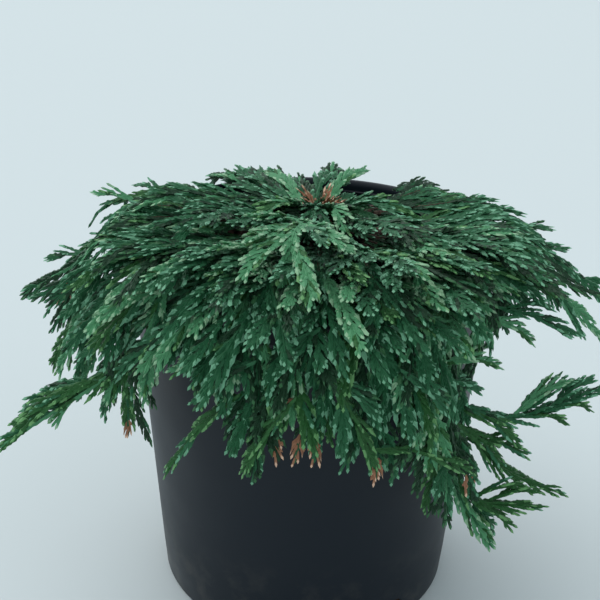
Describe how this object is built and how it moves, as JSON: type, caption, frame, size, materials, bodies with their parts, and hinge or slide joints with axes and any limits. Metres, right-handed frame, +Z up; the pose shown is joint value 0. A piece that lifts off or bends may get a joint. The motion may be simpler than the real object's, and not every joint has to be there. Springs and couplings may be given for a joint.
{
  "type": "potted creeping juniper",
  "caption": "Low spreading creeping juniper whose feathery blue-green sprays arch over the rim of a round black nursery pot and droop down its sides.",
  "frame": {"origin": "centre of the pot's flat underside, on the surface that it stands on", "axes": "+Z up the pot's axis; -Y is the front, where the foliage hangs lowest; +X to the right seen from the front"},
  "size_m": [0.2577, 0.2094, 0.2021],
  "materials": {
    "pot_plastic": "black moulded polyethylene with a soft sheen and a little dust near the foot",
    "compost": "damp dark bark compost, rough",
    "bark": "reddish brown flaking bark, rough",
    "foliage_blue_green": "blue-green scale leaves with a waxy bloom",
    "foliage_deep_green": "deep green scale leaves of older shoots",
    "foliage_bright_green": "brighter green scale leaves low on the plant",
    "foliage_new_growth": "yellow-green tips of the new growth",
    "foliage_dry": "dry brown scale leaves of a few dead sprays"
  },
  "bodies": {
    "root": {"pot": "pot_plastic", "compost": "compost", "trunk": "bark", "bough_back_left": "bark", "bough_back_right": "bark", "bough_front": "bark", "bough_front_left": "bark", "bough_front_low": "bark", "bough_front_right": "bark", "bough_left": "bark", "bough_left_back": "bark", "bough_left_low": "bark", "bough_right": "bark", "bough_right_back": "bark", "bough_right_foot": "bark", "bough_right_low": "bark", "crown_tuft_1": "foliage_blue_green", "crown_tuft_2": "foliage_blue_green", "crown_tuft_3": "foliage_blue_green", "crown_tuft_4": "foliage_blue_green", "crown_tuft_5": "foliage_blue_green", "crown_tuft_6": "foliage_blue_green", "crown_tuft_7": "foliage_blue_green", "foliage_back_left_1": "foliage_blue_green", "foliage_back_left_2": "foliage_blue_green", "foliage_back_right_1": "foliage_blue_green", "foliage_back_right_2": "foliage_blue_green", "foliage_front_1": "foliage_blue_green", "foliage_front_2": "foliage_blue_green", "foliage_front_3": "foliage_blue_green", "foliage_front_left_1": "foliage_blue_green", "foliage_front_left_2": "foliage_blue_green", "foliage_front_left_3": "foliage_blue_green", "foliage_front_low_1": "foliage_blue_green", "foliage_front_low_2": "foliage_blue_green", "foliage_front_low_3": "foliage_blue_green", "foliage_front_right_1": "foliage_blue_green", "foliage_front_right_2": "foliage_blue_green", "foliage_front_right_3": "foliage_blue_green", "foliage_left_1": "foliage_blue_green", "foliage_left_2": "foliage_blue_green", "foliage_left_3": "foliage_blue_green", "foliage_left_back_1": "foliage_blue_green", "foliage_left_back_2": "foliage_blue_green", "foliage_left_back_3": "foliage_blue_green", "foliage_left_low_1": "foliage_blue_green", "foliage_left_low_2": "foliage_blue_green", "foliage_left_low_3": "foliage_blue_green", "foliage_right_1": "foliage_blue_green", "foliage_right_2": "foliage_blue_green", "foliage_right_3": "foliage_blue_green", "foliage_right_back_1": "foliage_blue_green", "foliage_right_back_2": "foliage_blue_green", "foliage_right_back_3": "foliage_blue_green", "foliage_right_foot_1": "foliage_blue_green", "foliage_right_foot_2": "foliage_blue_green", "foliage_right_foot_3": "foliage_blue_green", "foliage_right_low_1": "foliage_blue_green", "foliage_right_low_2": "foliage_blue_green", "foliage_right_low_3": "foliage_blue_green"}
  },
  "joints": []
}
